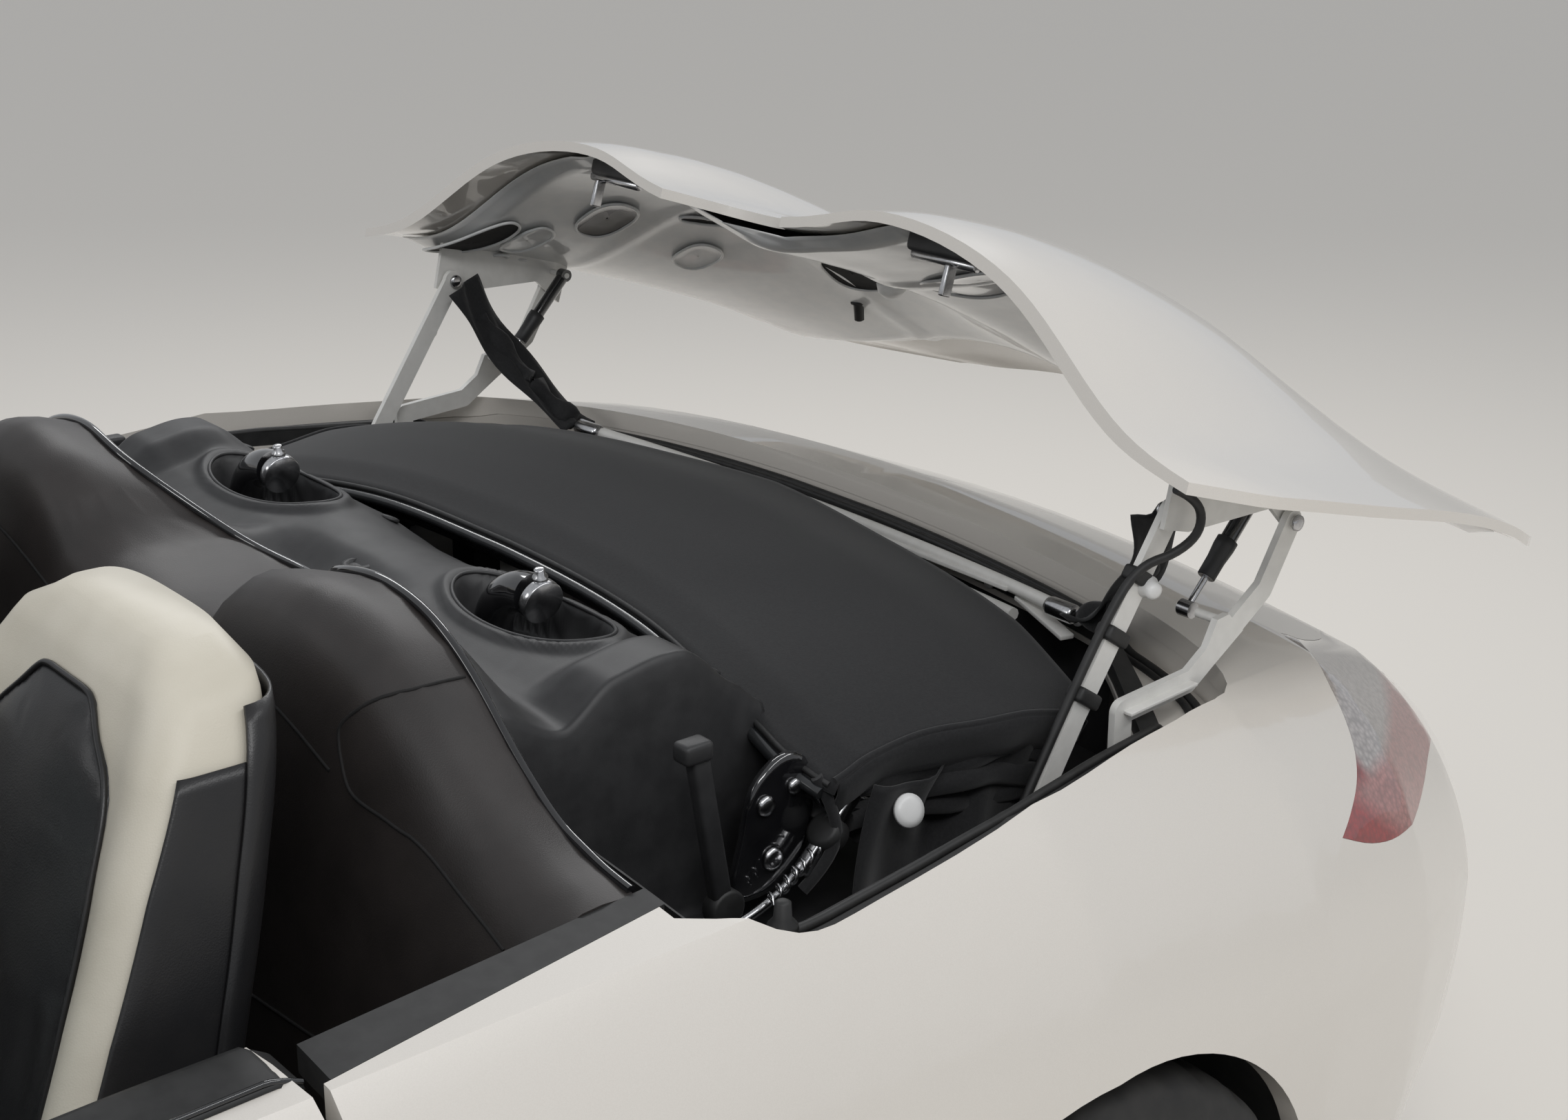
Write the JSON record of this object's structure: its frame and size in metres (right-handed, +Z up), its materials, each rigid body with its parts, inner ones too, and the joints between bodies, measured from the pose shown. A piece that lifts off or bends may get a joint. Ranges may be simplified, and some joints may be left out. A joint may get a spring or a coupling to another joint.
{
  "type": "roadster convertible",
  "caption": "Mid-engined two-seat roadster with a double-bubble tonneau cover raised on cranked arms over its folded fabric top.",
  "frame": {"origin": "on the ground under the middle of the car's length and width", "axes": "+X forward, +Y to the left (driver's side), +Z up"},
  "size_m": [4.44, 1.958, 1.3417],
  "materials": {
    "body_paint": "gloss",
    "black_trim": "matte",
    "gloss_black": "gloss",
    "dark_leather": "satin",
    "two_tone_leather": "satin",
    "top_fabric": "matte",
    "seal_rubber": "matte",
    "tyre": "matte",
    "alloy": "satin",
    "chassis": "matte",
    "lamp_red": "gloss",
    "lamp_clear": "clear",
    "screen_glass": "clear",
    "hinge_paint": "gloss",
    "strut_metal": "polished",
    "exhaust_metal": "polished"
  },
  "bodies": {
    "body": {"front_fenders": "body_paint", "rear_body": "body_paint", "belt_strips": "seal_rubber", "rim_channel": "body_paint", "rear_bumper": "body_paint", "front_bumper": "body_paint", "sills": "body_paint", "cowl_panel": "black_trim", "tail_lamps": "lamp_red", "headlamps": "lamp_clear", "floor_pan": "chassis", "wheel_liners": "black_trim", "luggage_tub": "black_trim", "top_compartment": "black_trim", "rim_seal": "seal_rubber", "seat_left": "two_tone_leather", "seat_right": "two_tone_leather", "rear_trim": "dark_leather", "hoop_shelf": "black_trim", "roll_hoops": "gloss_black", "folded_top": "top_fabric", "dashboard": "dark_leather", "centre_console": "dark_leather", "windscreen_frame": "body_paint", "windscreen_glass": "screen_glass", "front_axle": "chassis", "rear_axle": "chassis", "engine_block": "chassis", "exhausts": "exhaust_metal"},
    "hood": {"hood": "body_paint"},
    "door_left": {"door_left": "body_paint", "mirror_left": "body_paint"},
    "door_right": {"door_right": "body_paint", "mirror_right": "body_paint"},
    "steering_wheel": {"steering_wheel": "dark_leather"},
    "knuckle_left": {"knuckle_left": "chassis"},
    "knuckle_right": {"knuckle_right": "chassis"},
    "wheel_fl": {"wheel_front_left": "alloy", "tyre_front_left": "tyre"},
    "wheel_fr": {"wheel_front_right": "alloy", "tyre_front_right": "tyre"},
    "wheel_rl": {"wheel_rear_left": "alloy", "tyre_rear_left": "tyre"},
    "wheel_rr": {"wheel_rear_right": "alloy", "tyre_rear_right": "tyre"},
    "front_arms": {"front_arms": "hinge_paint", "arm_cable": "seal_rubber"},
    "cover": {"tonneau_cover": "body_paint", "cover_rails": "hinge_paint"},
    "rear_arms": {"rear_arms": "hinge_paint"},
    "strut_cylinders": {"strut_cylinders": "gloss_black"},
    "strut_rods": {"strut_rods": "strut_metal"}
  },
  "joints": [
    {"name": "hood_hinge", "type": "hinge", "parent": "body", "child": "hood", "pos_m": [0.853, 0, 0.915], "axis": [0, -1, 0], "range_deg": [0, 68]},
    {"name": "door_left_hinge", "type": "hinge", "parent": "body", "child": "door_left", "pos_m": [0.62, 0.835, 0.525], "axis": [0, 0, -1], "range_deg": [0, 65]},
    {"name": "door_right_hinge", "type": "hinge", "parent": "body", "child": "door_right", "pos_m": [0.62, -0.835, 0.525], "axis": [0, 0, 1], "range_deg": [0, 65]},
    {"name": "steer_left", "type": "hinge", "parent": "body", "child": "knuckle_left", "pos_m": [1.21, 0.7, 0.3235], "axis": [0, 0, 1], "range_deg": [-34, 34]},
    {"name": "steer_right", "type": "hinge", "parent": "body", "child": "knuckle_right", "pos_m": [1.21, -0.7, 0.3235], "axis": [0, 0, 1], "range_deg": [-34, 34]},
    {"name": "steering_wheel_turn", "type": "hinge", "parent": "body", "child": "steering_wheel", "pos_m": [0.19, 0.372, 0.7328], "axis": [-0.9339, 0, 0.3575], "range_deg": [-450, 450]},
    {"name": "wheel_fl_spin", "type": "hinge", "parent": "knuckle_left", "child": "wheel_fl", "pos_m": [1.21, 0.746, 0.3235], "axis": [0, 1, 0], "continuous": true},
    {"name": "wheel_fr_spin", "type": "hinge", "parent": "knuckle_right", "child": "wheel_fr", "pos_m": [1.21, -0.746, 0.3235], "axis": [0, 1, 0], "continuous": true},
    {"name": "wheel_rl_spin", "type": "hinge", "parent": "body", "child": "wheel_rl", "pos_m": [-1.14, 0.765, 0.333], "axis": [0, 1, 0], "continuous": true},
    {"name": "wheel_rr_spin", "type": "hinge", "parent": "body", "child": "wheel_rr", "pos_m": [-1.14, -0.765, 0.333], "axis": [0, 1, 0], "continuous": true},
    {"name": "cover_arms_swing", "type": "hinge", "parent": "body", "child": "front_arms", "pos_m": [-1.25722, 0, 0.755], "axis": [0, 1, 0], "range_deg": [0, 103.85]},
    {"name": "cover_tilt", "type": "hinge", "parent": "front_arms", "child": "cover", "pos_m": [-1.47, 0, 1.095], "axis": [0, 1, 0], "range_deg": [-89.35, 0.5]},
    {"name": "rear_arms_swing", "type": "hinge", "parent": "cover", "child": "rear_arms", "pos_m": [-1.645, 0, 1.055], "axis": [0, 1, 0], "range_deg": [-0.5, 109.74]},
    {"name": "strut_swing", "type": "hinge", "parent": "cover", "child": "strut_cylinders", "pos_m": [-1.6469, 0, 1.0836], "axis": [0, 1, 0], "range_deg": [-0.5, 92.48]},
    {"name": "strut_slide", "type": "slide", "parent": "strut_cylinders", "child": "strut_rods", "axis": [0.6789, 0, -0.7342], "range_m": [-0.0068, 0.001]}
  ],
  "couplings": [
    {"joint": "steer_right", "follows": "steer_left", "ratio": 1},
    {"joint": "steering_wheel_turn", "follows": "steer_left", "ratio": 13.2},
    {"joint": "cover_tilt", "follows": "cover_arms_swing", "ratio": -0.85556},
    {"joint": "rear_arms_swing", "follows": "cover_arms_swing", "ratio": 1.0519},
    {"joint": "strut_swing", "follows": "cover_arms_swing", "ratio": 0.88565},
    {"joint": "strut_slide", "follows": "cover_arms_swing", "m_per_rad": -0.003191}
  ]
}
